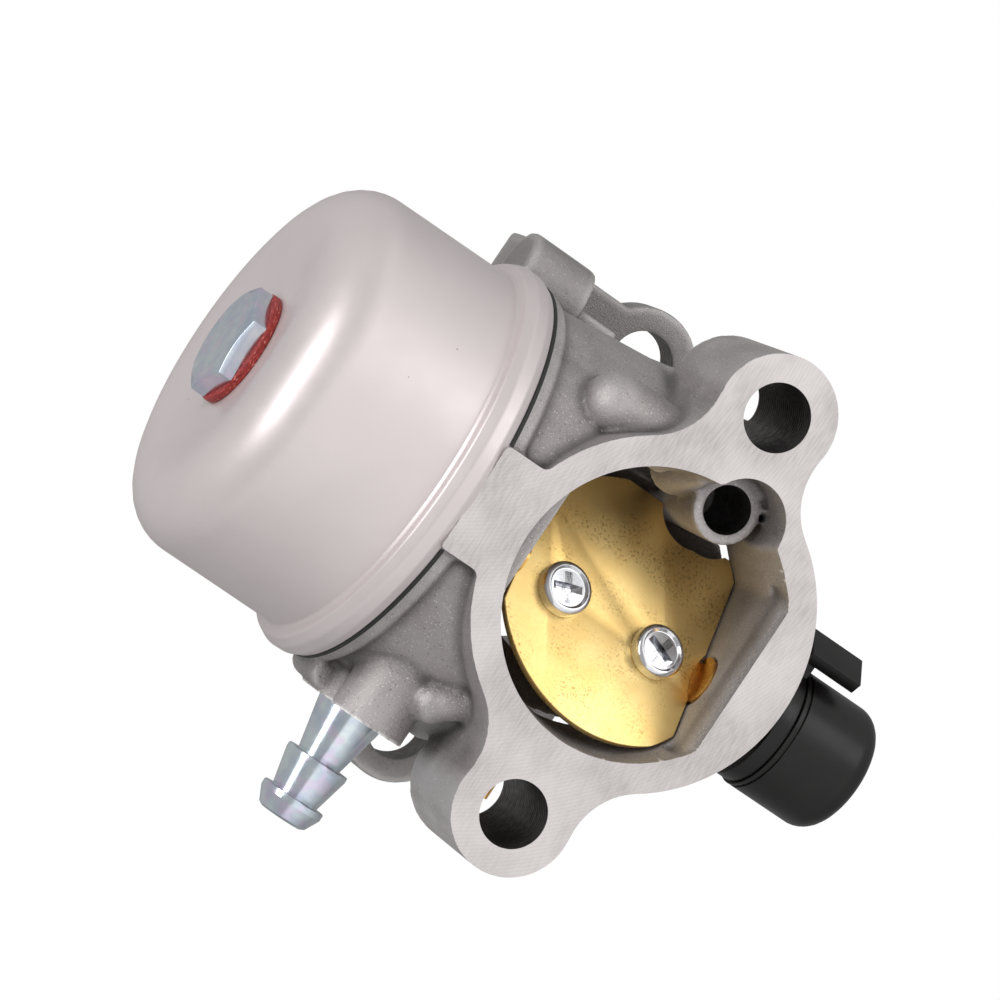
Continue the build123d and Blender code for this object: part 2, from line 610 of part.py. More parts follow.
def choke_lever():
    base = rod_z(LEVER_BASE_R, LEVER_BASE_Z, LEVER_SEAM_Z, CHOKE_X, CHOKE_Y)
    link = rounded_arm(CHOKE_X, CHOKE_Y, 5.0, CHOKE_X - 2.4, CHOKE_Y + 14, 3.2)
    arm = Pos(0, 0, LEVER_BASE_Z + 0.1) * extrude(link, 2.1)
    hub = rod_z(4.7, LEVER_SEAM_Z - 1, 28.8, CHOKE_X, CHOKE_Y)
    corners = ((-7.9, -54.2), (-10.7, -50.4), (-10.3, -46.5), (-8.3, -46.5), (-8.7, -49.8), (-6.5, -53.1))
    wall = Polyline(*corners, close=True)
    finger = extrude(make_face(wall), FINGER_TOP_Z - LEVER_BASE_Z)
    web = extrude(rounded_arm(CHOKE_X - 5, CHOKE_Y, 4.2, -8.0, -50.6, 2.0), LEVER_SEAM_Z - LEVER_BASE_Z)
    lever = base + arm + hub + Pos(0, 0, LEVER_BASE_Z) * (finger + web)
    lever -= rod_z(SHAFT_CHOKE_R + RUNNING_GAP, 20, 32, CHOKE_X, CHOKE_Y)
    lever -= rod_z(1.2, 20, 32, CHOKE_X - 2.4, CHOKE_Y + 14)
    return lever


def choke_lever_cap():
    cap = rod_z(CAP_R, LEVER_SEAM_Z + 0.05, CAP_TOP_Z, CHOKE_X, CHOKE_Y)
    cap = fillet(cap.edges().sort_by(Axis.Z)[-1], 3.0)
    groove = rod_z(CAP_R + 1, 25.0, 25.4, CHOKE_X, CHOKE_Y)
    groove -= rod_z(CAP_R - 0.25, 24.8, 25.6, CHOKE_X, CHOKE_Y)
    return cap - groove - rod_z(6.9, 24, 34.9, CHOKE_X, CHOKE_Y)


def choke_relief_spring():
    return coil_z(5.8, 0.45, 25.4, 4.5, 1.25, CHOKE_X, CHOKE_Y)


# ---- throttle ----------------------------------------------------------------------
def throttle_shaft():
    shaft = rod_z(SHAFT_THROTTLE_R, -17.0, THROTTLE_LEVER_Z + 0.4, 0, THROTTLE_Y)
    shaft += rod_z(2.2, THROTTLE_LEVER_Z, 22.0, 0, THROTTLE_Y)
    shaft -= block(0, 4, THROTTLE_Y - 4, THROTTLE_Y + 4, -THROTTLE_BORE_R, THROTTLE_BORE_R)
    for z in (-THROTTLE_SCREW_Z, THROTTLE_SCREW_Z):
        shaft -= rod_x(1.3, -4, 4, THROTTLE_Y, z)
    return shaft


def throttle_plate():
    """Cut to seal the bore when turned through its travel, then turned back open."""
    slab = block(0, THROTTLE_PLATE_THICKNESS, -20, 20, -20, 20)
    to_closed = Pos(0, THROTTLE_Y, 0) * Rot(0, 0, -THROTTLE_TRAVEL)
    bore = rod_y(THROTTLE_BORE_R - RUNNING_GAP, THROTTLE_Y - 12, THROTTLE_Y + 12, 0, 0)
    closed = (to_closed * slab) & bore
    plate = Pos(0, THROTTLE_Y, 0) * Rot(0, 0, THROTTLE_TRAVEL) * Pos(0, -THROTTLE_Y, 0) * closed
    for z in (-THROTTLE_SCREW_Z, THROTTLE_SCREW_Z):
        plate -= rod_x(1.4, -2, 4, THROTTLE_Y, z)
    return plate


def throttle_plate_screws():
    screw = pan_screw(2.4, 1.5, 1.28, 3.4)
    pair = []
    for z, turn in ((-THROTTLE_SCREW_Z, 10), (THROTTLE_SCREW_Z, 50)):
        place = Pos(THROTTLE_PLATE_THICKNESS, THROTTLE_Y, z)
        pair.append(place * Rot(0, 90, 0) * Rot(0, 0, turn) * screw)
    return Compound(children=pair)


def throttle_lever():
    """Stop arm towards +X, link arm between it and the engine, both seen with the throttle open."""
    stop = radians(-12)
    link = radians(40)
    outline = rounded_arm(0, THROTTLE_Y, 6.0, 13.5 * cos(stop), THROTTLE_Y + 13.5 * sin(stop), 2.1)
    outline += rounded_arm(0, THROTTLE_Y, 6.0, 13.5 * cos(link), THROTTLE_Y + 13.5 * sin(link), 3.0)
    lever = Pos(0, 0, THROTTLE_LEVER_Z) * extrude(outline, THROTTLE_LEVER_THICKNESS)
    lever += rod_z(4.4, THROTTLE_LEVER_Z, 23.2, 0, THROTTLE_Y)
    lever -= rod_z(1.2, 18, 24, 13.5 * cos(link), THROTTLE_Y + 13.5 * sin(link))
    lever -= rod_z(SHAFT_THROTTLE_R, 18, THROTTLE_LEVER_Z + 0.4, 0, THROTTLE_Y)
    lever -= rod_z(2.2, 18, 22.0, 0, THROTTLE_Y)
    return lever - rod_z(1.3, 21, 24, 0, THROTTLE_Y)


def throttle_lever_screw():
    return Pos(0, THROTTLE_Y, 23.2) * pan_screw(2.7, 1.6, 1.28, 1.1)


def throttle_shaft_seal():
    ring = rod_z(5.0, THROTTLE_BOSS_TOP_Z, THROTTLE_LEVER_Z - 0.05, 0, THROTTLE_Y)
    return ring - rod_z(SHAFT_THROTTLE_R + 0.08, 18, 20, 0, THROTTLE_Y)


# ---- adjusting screws and plugs ----------------------------------------------------
def slotted_head(radius, length):
    """A knurled head with a driver slot, standing from z = 0 towards -Z."""
    head = Cylinder(radius, length, align=(Align.CENTER, Align.CENTER, Align.MAX))
    for step in range(16):
        groove = Rot(0, 0, step * 22.5) * Pos(radius, 0, 0)
        head -= groove * Cylinder(0.32, 3 * length)
    return head - Pos(0, 0, -length) * Box(2.4 * radius, 0.9, 1.6)


def idle_speed_screw():
    head = Rot(0, 90, 0) * slotted_head(3.2, 3.0)
    shank = rod_x(2.0, 0, 13.2, 0, 0) + rod_x(1.3, 13.2, 14.2, 0, 0)
    return Pos(IDLE_SCREW_X, IDLE_SCREW_Y, IDLE_SCREW_Z) * (head + shank)


def idle_speed_spring():
    spring = coil_z(2.75, 0.3, 0.3, 4.2, 0.95, 0, 0)
    return lay_along_x(spring, IDLE_SCREW_X, IDLE_SCREW_Y, IDLE_SCREW_Z)


def idle_mixture_screw():
    head = Rot(0, -90, 0) * slotted_head(3.2, 3.4)
    needle = Rot(0, -90, 0) * Cone(1.2, 0.35, 2.8, align=(Align.CENTER, Align.CENTER, Align.MIN))
    screw = head + rod_x(2.0, -10.5, 0, 0, 0) + Pos(-10.5, 0, 0) * needle
    return Pos(26.4, -19.5, 7.0) * screw


def idle_mixture_spring():
    return lay_along_x(coil_z(2.75, 0.3, 0.3, 3.4, 1.25, 0, 0), 21.55, -19.5, 7.0)


def transfer_chamber_plug():
    plug = rod_z(4.58, 14.72, 15.3, 8.0, -20.5)
    return fillet(plug.edges().sort_by(Axis.Z)[-1], 0.3)


PARTS = {
    "body_casting": body_casting,
    "float_bowl": float_bowl,
    "bowl_gasket": bowl_gasket,
    "bowl_bolt": bowl_bolt,
    "bowl_bolt_washer": bowl_bolt_washer,
    "fuel_inlet_barb": fuel_inlet_barb,
    "main_jet": main_jet,
    "main_nozzle": main_nozzle,
    "idle_jet": idle_jet,
    "inlet_valve_seat": inlet_valve_seat,
    "inlet_needle": inlet_needle,
    "float_ring": float_ring,
    "float_hinge_pin": float_hinge_pin,
    "choke_shaft": choke_shaft,
    "choke_plate": choke_plate,
    "choke_plate_screws": choke_plate_screws,
    "choke_shaft_clip": choke_shaft_clip,
    "choke_shaft_seal": choke_shaft_seal,
    "choke_lever": choke_lever,
    "choke_lever_cap": choke_lever_cap,
    "choke_relief_spring": choke_relief_spring,
    "throttle_shaft": throttle_shaft,
    "throttle_plate": throttle_plate,
    "throttle_plate_screws": throttle_plate_screws,
    "throttle_lever": throttle_lever,
    "throttle_lever_screw": throttle_lever_screw,
    "throttle_shaft_seal": throttle_shaft_seal,
    "idle_speed_screw": idle_speed_screw,
    "idle_speed_spring": idle_speed_spring,
    "idle_mixture_screw": idle_mixture_screw,
    "idle_mixture_spring": idle_mixture_spring,
    "transfer_chamber_plug": transfer_chamber_plug,
}

os.makedirs("parts", exist_ok=True)
for node, make in PARTS.items():
    export_step(make(), "parts/" + node + ".step")
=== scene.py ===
from math import cos, pi, radians, sin, tan

import bmesh
import bpy
import numpy as np
from mathutils import Matrix, Vector


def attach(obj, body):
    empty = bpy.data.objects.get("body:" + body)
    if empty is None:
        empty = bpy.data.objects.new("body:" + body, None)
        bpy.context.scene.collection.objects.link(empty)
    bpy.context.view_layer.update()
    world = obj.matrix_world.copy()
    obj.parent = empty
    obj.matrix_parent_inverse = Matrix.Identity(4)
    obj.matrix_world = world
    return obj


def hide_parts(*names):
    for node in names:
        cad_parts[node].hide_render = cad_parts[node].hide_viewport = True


# Side-float carburetor, in metres. The throat runs along Y, the float bowl hangs towards -Z.
MM = 0.001

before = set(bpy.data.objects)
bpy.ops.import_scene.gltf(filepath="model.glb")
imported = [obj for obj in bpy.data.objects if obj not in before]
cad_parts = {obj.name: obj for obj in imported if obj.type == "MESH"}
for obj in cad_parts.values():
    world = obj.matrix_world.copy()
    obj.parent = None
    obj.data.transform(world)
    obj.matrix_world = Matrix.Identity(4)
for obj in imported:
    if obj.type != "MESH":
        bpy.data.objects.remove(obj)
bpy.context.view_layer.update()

AIR_Y = -58.0 * MM
BOWL_Y = -30.5 * MM
STUD_X = 28.5 * MM
COVER_Z = -25.25 * MM
INLET_X = 29.6 * MM
CHOKE_X, CHOKE_Y = 2.6 * MM, -48.5 * MM
CHOKE_LEAN = radians(29.5)
FUEL_Y, FUEL_Z = -33.0 * MM, -15.9 * MM


# ---- materials ---------------------------------------------------------------------
class Shader:
    """A node material under construction: object coordinates in, one Principled shader out."""

    def __init__(self, name, metallic=1.0, roughness=0.4):
        self.material = bpy.data.materials.new(name)
        self.material.use_nodes = True
        self.tree = self.material.node_tree
        self.bsdf = self.tree.nodes["Principled BSDF"]
        self.bsdf.inputs["Metallic"].default_value = metallic
        self.bsdf.inputs["Roughness"].default_value = roughness
        self.place = self.tree.nodes.new("ShaderNodeTexCoord").outputs["Object"]

    def link(self, value, socket):
        if isinstance(value, bpy.types.NodeSocket):
            self.tree.links.new(value, socket)
        else:
            socket.default_value = value

    def noise(self, size_mm, detail=2.0, place=None, rough=0.5):
        node = self.tree.nodes.new("ShaderNodeTexNoise")
        self.link(place or self.place, node.inputs["Vector"])
        node.inputs["Scale"].default_value = 1.0 / (size_mm * MM)
        node.inputs["Detail"].default_value = detail
        node.inputs["Roughness"].default_value = rough
        return node.outputs["Fac"]

    def cells(self, size_mm):
        node = self.tree.nodes.new("ShaderNodeTexVoronoi")
        self.link(self.place, node.inputs["Vector"])
        node.inputs["Scale"].default_value = 1.0 / (size_mm * MM)
        return node.outputs["Distance"]

    def stretched(self, scale, rotation=(0, 0, 0), location=(0, 0, 0)):
        node = self.tree.nodes.new("ShaderNodeMapping")
        self.link(self.place, node.inputs["Vector"])
        node.inputs["Scale"].default_value = scale
        node.inputs["Rotation"].default_value = rotation
        node.inputs["Location"].default_value = location
        return node.outputs["Vector"]

    def rings(self, spacing_mm, place, kind="RINGS", axis="Z"):
        node = self.tree.nodes.new("ShaderNodeTexWave")
        node.wave_type = kind
        if kind == "RINGS":
            node.rings_direction = axis
        else:
            node.bands_direction = axis
        self.link(place, node.inputs["Vector"])
        node.inputs["Scale"].default_value = 0.314 / (spacing_mm * MM)
        node.inputs["Distortion"].default_value = 1.2
        node.inputs["Detail"].default_value = 2.0
        node.inputs["Detail Scale"].default_value = 2.0
        return node.outputs["Fac"]

    def spread(self, value, low, high, to_low=0.0, to_high=1.0):
        node = self.tree.nodes.new("ShaderNodeMapRange")
        self.link(value, node.inputs["Value"])
        limits = {"From Min": low, "From Max": high, "To Min": to_low, "To Max": to_high}
        for name, number in limits.items():
            node.inputs[name].default_value = number
        return node.outputs["Result"]

    def math(self, operation, first, second):
        node = self.tree.nodes.new("ShaderNodeMath")
        node.operation = operation
        self.link(first, node.inputs[0])
        self.link(second, node.inputs[1])
        return node.outputs[0]

    def mix(self, fac, first, second, blend="MIX"):
        node = self.tree.nodes.new("ShaderNodeMix")
        node.data_type = "RGBA"
        node.blend_type = blend
        self.link(fac, node.inputs[0])
        for value, socket in ((first, node.inputs[6]), (second, node.inputs[7])):
            self.link(value if isinstance(value, bpy.types.NodeSocket) else (*value, 1), socket)
        return node.outputs[2]

    def height_along(self, axis):
        node = self.tree.nodes.new("ShaderNodeSeparateXYZ")
        self.link(self.place, node.inputs[0])
        return node.outputs[axis]

    def attribute(self, name):
        node = self.tree.nodes.new("ShaderNodeAttribute")
        node.attribute_name = name
        return node.outputs["Fac"]

    def colour(self, value):
        self.link(value, self.bsdf.inputs["Base Color"])

    def roughness(self, value):
        self.link(value, self.bsdf.inputs["Roughness"])

    def bump(self, height, depth_mm, strength=1.0, under=None):
        node = self.tree.nodes.new("ShaderNodeBump")
        self.link(height, node.inputs["Height"])
        node.inputs["Distance"].default_value = depth_mm * MM
        node.inputs["Strength"].default_value = strength
        if under is not None:
            self.link(under, node.inputs["Normal"])
        self.link(node.outputs["Normal"], self.bsdf.inputs["Normal"])
        return node.outputs["Normal"]


def cast_aluminium():
    s = Shader("cast_aluminium", metallic=0.65)
    grain = s.noise(0.22, 3.0, rough=0.6)
    patches = s.noise(7.0, 3.0)
    tone = s.mix(s.spread(patches, 0.35, 0.65), (0.34, 0.315, 0.31), (0.42, 0.395, 0.39))
    glint = s.spread(grain, 0.60, 0.70)
    tone = s.mix(s.math("MULTIPLY", glint, 0.85), tone, (0.88, 0.86, 0.85))
    pits = s.spread(s.noise(0.4, 2.0), 0.28, 0.38, 1.0, 0.0)
    tone = s.mix(s.math("MULTIPLY", pits, 0.6), tone, (0.14, 0.13, 0.125))
    # Stands in for shade towards the engine face; the surface itself is the same all over.
    shade = s.spread(s.height_along("Y"), -0.040, -0.008, 0.0, 0.5)
    tone = s.mix(shade, tone, (0.12, 0.112, 0.108))
    # Painted shade darkens the casting's corners and recesses.
    hollow_shade = s.spread(s.attribute("hollow_shade"), 0.05, 0.75)
    tone = s.mix(s.math("MULTIPLY", hollow_shade, 0.8), tone, (0.060, 0.054, 0.052))
    proud = s.spread(s.attribute("hollow_shade"), -0.15, -0.7)
    tone = s.mix(s.math("MULTIPLY", proud, 0.35), tone, (0.80, 0.77, 0.76))
    # The burr along the machined edges, painted white as a bright highlight.
    burr_highlight = s.math("MULTIPLY", s.attribute("edge"), s.spread(s.noise(0.9, 2.0), 0.38, 0.55))
    s.colour(s.mix(burr_highlight, tone, (0.95, 0.93, 0.92)))
    s.link(s.spread(burr_highlight, 0.0, 1.0, 0.65, 0.05), s.bsdf.inputs["Metallic"])
    s.roughness(s.spread(patches, 0.3, 0.7, 0.42, 0.54))
    coarse = s.bump(s.noise(1.3, 2.0), 0.07, 0.6)
    s.bump(grain, 0.10, 1.0, under=coarse)
    return s.material


def machined_aluminium():
    s = Shader("machined_aluminium", roughness=0.36)
    centre = s.stretched((1, 1, 1), location=(0.030, 0.0, 0.046))
    arcs = s.rings(0.45, centre, axis="Y")
    fine = s.noise(0.5, 3.0, place=s.stretched((0.25, 1, 1.6), rotation=(0, radians(52), 0)))
    patches = s.noise(9.0, 2.0)
    tone = s.mix(s.spread(patches, 0.38, 0.62), (0.49, 0.455, 0.448), (0.64, 0.60, 0.592))
    tone = s.mix(s.spread(fine, 0.35, 0.65, 0.0, 0.4), tone, (0.78, 0.745, 0.735))
    lines = s.math("ADD", s.math("MULTIPLY", arcs, 0.25), fine)
    worn_arcs = s.math("MULTIPLY", arcs, s.noise(2.4, 2.0))
    s.colour(s.mix(s.spread(worn_arcs, 0.0, 0.20, 0.14, 0.0), tone, (0.36, 0.33, 0.325)))
    s.roughness(s.spread(fine, 0.3, 0.7, 0.30, 0.44))
    s.bump(lines, 0.030, 0.8)
    return s.material


def bowl_plating():
    s = Shader("bowl_plating", metallic=0.45)
    patches = s.noise(14.0, 2.0)
    tone = s.mix(s.spread(patches, 0.35, 0.65), (0.665, 0.598, 0.598), (0.695, 0.628, 0.626))
    grain = s.noise(0.22, 2.0)
    speck = s.spread(s.cells(4.2), 0.018, 0.034, 0.7, 0.0)
    s.colour(s.mix(speck, tone, (0.16, 0.14, 0.135)))
    s.roughness(s.spread(s.noise(2.5, 2.0), 0.3, 0.7, 0.36, 0.42))
    soft = s.bump(s.noise(3.2, 2.0), 0.016, 0.6)
    s.bump(grain, 0.009, 0.7, under=soft)
    return s.material


def zinc_plating():
    s = Shader("zinc_plating")
    tint = s.noise(3.0, 2.0)
    tone = s.mix(s.spread(tint, 0.36, 0.64), (0.56, 0.63, 0.74), (0.72, 0.80, 0.82))
    tone = s.mix(s.spread(s.noise(2.1, 1.0), 0.52, 0.66, 0.0, 0.6), tone, (0.74, 0.62, 0.80))
    s.colour(tone)
    turning = s.rings(0.16, s.place, kind="BANDS", axis="X")
    s.roughness(s.spread(s.noise(0.8, 2.0), 0.3, 0.7, 0.13, 0.24))
    s.bump(turning, 0.012, 0.6, under=s.bump(s.noise(0.35, 2.0), 0.012, 0.5))
    return s.material


def plate_brass():
    s = Shader("plate_brass")
    patches = s.noise(6.0, 2.0)
    tone = s.mix(s.spread(patches, 0.35, 0.68), (0.97, 0.72, 0.30), (0.91, 0.62, 0.22))
    speck = s.spread(s.noise(0.34, 3.0, rough=0.6), 0.52, 0.72, 0.0, 0.8)
    region = s.spread(s.noise(5.0, 1.0), 0.42, 0.60)
    tone = s.mix(s.math("MULTIPLY", speck, region), tone, (0.26, 0.13, 0.03))
    grain = s.noise(0.3, 3.0)
    s.colour(s.mix(s.spread(grain, 0.45, 0.65, 0.0, 0.35), tone, (0.98, 0.74, 0.32)))
    s.roughness(s.spread(grain, 0.3, 0.7, 0.34, 0.46))
    s.bump(grain, 0.012, 0.6)
    return s.material


def turned_brass():
    s = Shader("turned_brass")
    patches = s.noise(2.0, 2.0)
    s.colour(s.mix(s.spread(patches, 0.35, 0.65), (0.76, 0.47, 0.14), (0.66, 0.36, 0.11)))
    s.roughness(s.spread(patches, 0.3, 0.7, 0.22, 0.34))
    s.bump(s.rings(0.2, s.place, kind="BANDS", axis="Z"), 0.008, 0.5)
    return s.material


def bright_nickel():
    s = Shader("bright_nickel")
    patches = s.noise(1.2, 2.0)
    s.colour(s.mix(s.spread(patches, 0.35, 0.65), (0.80, 0.80, 0.82), (0.66, 0.67, 0.70)))
    s.roughness(s.spread(patches, 0.3, 0.7, 0.10, 0.20))
    s.bump(s.noise(0.5, 2.0), 0.008, 0.5)
    return s.material


def black_nylon():
    s = Shader("black_nylon", metallic=0.0)
    patches = s.noise(3.0, 2.0)
    s.colour(s.mix(s.spread(patches, 0.35, 0.65), (0.0045, 0.0038, 0.0036), (0.0075, 0.0064, 0.0060)))
    s.roughness(s.spread(patches, 0.3, 0.7, 0.30, 0.38))
    s.bsdf.inputs["Specular IOR Level"].default_value = 0.32
    s.bump(s.noise(0.25, 2.0), 0.010, 0.5)
    return s.material


def black_rubber():
    s = Shader("black_rubber", metallic=0.0)
    patches = s.noise(1.5, 2.0)
    s.colour(s.mix(s.spread(patches, 0.35, 0.65), (0.010, 0.010, 0.010), (0.022, 0.021, 0.020)))
    s.roughness(s.spread(patches, 0.3, 0.7, 0.5, 0.7))
    s.bump(s.noise(0.3, 2.0), 0.02, 0.6)
    return s.material


def red_fibre():
    s = Shader("red_fibre", metallic=0.0)
    strands = s.noise(0.45, 3.0, place=s.stretched((1, 1, 3.0)))
    tone = s.mix(s.spread(strands, 0.35, 0.62), (0.17, 0.008, 0.007), (0.42, 0.035, 0.028))
    s.colour(s.mix(s.spread(strands, 0.62, 0.72), tone, (0.85, 0.45, 0.40)))
    s.roughness(s.spread(strands, 0.3, 0.7, 0.40, 0.65))
    s.bump(strands, 0.05, 0.8)
    return s.material


def spring_wire():
    s = Shader("spring_wire")
    patches = s.noise(0.8, 2.0)
    s.colour(s.mix(s.spread(patches, 0.35, 0.65), (0.42, 0.42, 0.43), (0.58, 0.58, 0.58)))
    s.roughness(s.spread(patches, 0.3, 0.7, 0.24, 0.36))
    s.bump(s.noise(0.2, 2.0), 0.006, 0.5)
    return s.material


def pressed_disc():
    s = Shader("pressed_disc")
    patches = s.noise(1.5, 2.0)
    s.colour(s.mix(s.spread(patches, 0.35, 0.65), (0.60, 0.59, 0.58), (0.72, 0.71, 0.70)))
    s.roughness(s.spread(patches, 0.3, 0.7, 0.26, 0.40))
    s.bump(s.noise(0.4, 2.0), 0.010, 0.5)
    return s.material


def shaded_bore_aluminium():
    s = Shader("shaded_bore_aluminium", roughness=0.5)
    marks = s.rings(0.7, s.place, kind="BANDS", axis="Y")
    # The dark tone paints the shade inside the holes; the bands are the drill's marks.
    s.colour(s.mix(s.spread(marks, 0.1, 0.9), (0.085, 0.078, 0.075), (0.15, 0.14, 0.135)))
    s.roughness(s.spread(s.noise(0.8, 2.0), 0.3, 0.7, 0.42, 0.60))
    s.bump(marks, 0.05, 0.6)
    return s.material


CAST = cast_aluminium()
MACHINED = machined_aluminium()
SHADED_BORE = shaded_bore_aluminium()
BOWL = bowl_plating()
ZINC = zinc_plating()
BRASS_PLATE = plate_brass()
BRASS = turned_brass()
NICKEL = bright_nickel()
NYLON = black_nylon()
RUBBER = black_rubber()
FIBRE = red_fibre()
WIRE = spring_wire()
DISC = pressed_disc()


# ---- mesh tools --------------------------------------------------------------------
def make_object(name, mesh, material):
    piece = bpy.data.objects.new(name, mesh)
    bpy.context.scene.collection.objects.link(piece)
    mesh.materials.clear()
    mesh.materials.append(material)
    return piece


def smooth_shade(mesh, sharp_degrees=32):
    for polygon in mesh.polygons:
        polygon.use_smooth = True
    mesh.set_sharp_from_angle(angle=radians(sharp_degrees))


def apply_modifiers(piece):
    """Turn the piece's modifiers into plain mesh."""
    graph = bpy.context.evaluated_depsgraph_get()
    result = bpy.data.meshes.new_from_object(piece.evaluated_get(graph))
    piece.modifiers.clear()
    old = piece.data
    piece.data = result
    bpy.data.meshes.remove(old)


def rounded_outline(corners, steps=5):
    """Corners given as (x, y, radius); a corner with a radius becomes an arc."""
    outline = []
    count = len(corners)
    for index, (x, y, radius) in enumerate(corners):
        corner = Vector((x, y))
        if radius == 0:
            outline.append(corner)
            continue
        back = (Vector(corners[index - 1][:2]) - corner).normalized()
        ahead = (Vector(corners[(index + 1) % count][:2]) - corner).normalized()
        half = back.angle(ahead) / 2
        start, end = corner + back * radius / tan(half), corner + ahead * radius / tan(half)
        centre = corner + (back + ahead).normalized() * radius / sin(half)
        for step in range(steps + 1):
            chord = start.lerp(end, step / steps) - centre
            outline.append(centre + chord.normalized() * radius)
    return outline


def lathe(name, outline, material, place, segments=192):
    """Turn a closed outline of (radius, height) in mm about Z, then put it in place."""
    bm = bmesh.new()
    columns = []
    for segment in range(segments):
        angle = 2 * pi * segment / segments
        turn = Vector((cos(angle), sin(angle)))
        column = []
        for radius, height in outline:
            column.append(bm.verts.new((turn.x * radius * MM, turn.y * radius * MM, height * MM)))
        columns.append(column)
    rows = len(outline)
    for segment in range(segments):
        here, there = columns[segment], columns[(segment + 1) % segments]
        for row in range(rows):
            up = (row + 1) % rows
            bm.faces.new((here[row], there[row], there[up], here[up]))
    bmesh.ops.remove_doubles(bm, verts=bm.verts, dist=1e-7)
    bmesh.ops.recalc_face_normals(bm, faces=bm.faces)
    bmesh.ops.transform(bm, matrix=place, verts=bm.verts)
    mesh = bpy.data.meshes.new(name)
    bm.to_mesh(mesh)
    bm.free()
    smooth_shade(mesh)
    return make_object(name, mesh, material)


def welded_copy(node, name, material):
    """The CAD node's mesh with its doubled vertices joined, as a new object."""
    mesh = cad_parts[node].data.copy()
    mesh.name = name
    bm = bmesh.new()
    bm.from_mesh(mesh)
    bmesh.ops.remove_doubles(bm, verts=bm.verts, dist=1e-6)
    bm.to_mesh(mesh)
    bm.free()
    for old in [a for a in mesh.attributes if a.name == "custom_normal"]:
        mesh.attributes.remove(old)
    return make_object(name, mesh, material)


def softened(node, name, material, edge_mm, body, sharp_degrees=30):
    """Stands for a CAD node, with its hard edges rounded over."""
    piece = welded_copy(node, name, material)
    bm = bmesh.new()
    bm.from_mesh(piece.data)
    bmesh.ops.dissolve_limit(bm, angle_limit=radians(0.6), verts=bm.verts, edges=bm.edges)
    bm.to_mesh(piece.data)
    bm.free()
    bevel = piece.modifiers.new("edges", "BEVEL")
    bevel.width = edge_mm * MM
    bevel.segments = 3
    bevel.limit_method = "ANGLE"
    bevel.angle_limit = radians(38)
    bevel.use_clamp_overlap = True
    apply_modifiers(piece)
    smooth_shade(piece.data, sharp_degrees)
    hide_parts(node)
    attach(piece, body)
    return piece


def cutter_box(low, high):
    bm = bmesh.new()
    bmesh.ops.create_cube(bm, size=1.0)
    size = Vector(high) - Vector(low)
    centre = (Vector(high) + Vector(low)) / 2
    place = Matrix.Translation(centre) @ Matrix.Diagonal((*size, 1))
    bmesh.ops.transform(bm, matrix=place, verts=bm.verts)
    return bm


def rod_along_y(bm, radius, y0, y1, x, z, segments=96):
    place = Matrix.Translation((x, (y0 + y1) / 2, z)) @ Matrix.Rotation(radians(90), 4, "X")
    bmesh.ops.create_cone(
        bm, cap_ends=True, segments=segments, radius1=radius, radius2=radius,
        depth=abs(y1 - y0), matrix=place,
    )


def cut_away(piece, bm):
    """Machine a shape out of the piece."""
    mesh = bpy.data.meshes.new("cutter")
    bm.to_mesh(mesh)
    bm.free()
    tool = bpy.data.objects.new("cutter", mesh)
    bpy.context.scene.collection.objects.link(tool)
    cut = piece.modifiers.new("cut", "BOOLEAN")
    cut.operation = "DIFFERENCE"
    cut.solver = "MANIFOLD"
    cut.object = tool
    bpy.context.view_layer.update()
    apply_modifiers(piece)
    bpy.data.objects.remove(tool)
    bpy.data.meshes.remove(mesh)


# ---- body casting ------------------------------------------------------------------
MACHINING_STOCK = 1.0 * MM
HOLE_PLUG_LAP = 0.7 * MM
VOXEL = 0.42 * MM
HOLLOW_SHADE_GAIN = 0.0045
STUD_HOLE_R = 4.3 * MM
VENT_X, VENT_Z, VENT_BORE_R = -16.4 * MM, 3.9 * MM, 3.1 * MM
AIR_EAR_BACK_Y = -39.0 * MM
REAR_EAR_FRONT_Y = -5.5 * MM
VENT_FACE_Y = -51.0 * MM
SKIM_DEPTH = 50.0 * MM           # deeper than anything left standing
INLET_FACE_LOW = (INLET_X, FUEL_Y - 9.5 * MM - 6 * MM, -0.030)
INLET_FACE_HIGH = (SKIM_DEPTH, -0.018, -0.0085)
HOLES = [(x, 0, STUD_HOLE_R) for x in (-STUD_X, STUD_X)]
HOLES.append((VENT_X, VENT_Z, VENT_BORE_R))


def add_stock(bm):
    """Leave material standing on the faces that are machined later."""
    for v in bm.verts:
        if abs(v.co.y - AIR_Y) < 1e-5:
            v.co.y -= MACHINING_STOCK
        if abs(v.co.y) < 1e-5:
            v.co.y += MACHINING_STOCK
        if abs(v.co.z - COVER_Z) < 1e-5:
            v.co.z -= MACHINING_STOCK
        if abs(v.co.x - INLET_X) < 1e-5:
            v.co.x += MACHINING_STOCK


def drilled_holes(bm, lap, over):
    """The stud holes and the vent bore, as plugs or as cuts."""
    for x in (-STUD_X, STUD_X):
        rod_along_y(bm, STUD_HOLE_R + lap, AIR_Y - 1.2 * MM, AIR_EAR_BACK_Y + over, x, 0)
        rod_along_y(bm, STUD_HOLE_R + lap, REAR_EAR_FRONT_Y - over, 1.2 * MM, x, 0)
    rod_along_y(bm, VENT_BORE_R + lap, VENT_FACE_Y - over, -37 * MM, VENT_X, VENT_Z)


def capsule(bm, radius, tip, tail):
    """A round-ended column from tip to tail."""
    tip, tail = Vector(tip) * MM, Vector(tail) * MM
    along = (tail - tip).normalized()
    ball = Matrix.Translation(tip + along * radius * MM)
    bmesh.ops.create_uvsphere(bm, u_segments=32, v_segments=24, radius=radius * MM, matrix=ball)
    start = tip + along * radius * MM
    turn = along.to_track_quat("Z", "Y").to_matrix().to_4x4()
    bmesh.ops.create_cone(
        bm, cap_ends=True, segments=48, radius1=radius * MM, radius2=radius * MM,
        depth=(tail - start).length, matrix=Matrix.Translation((start + tail) / 2) @ turn,
    )


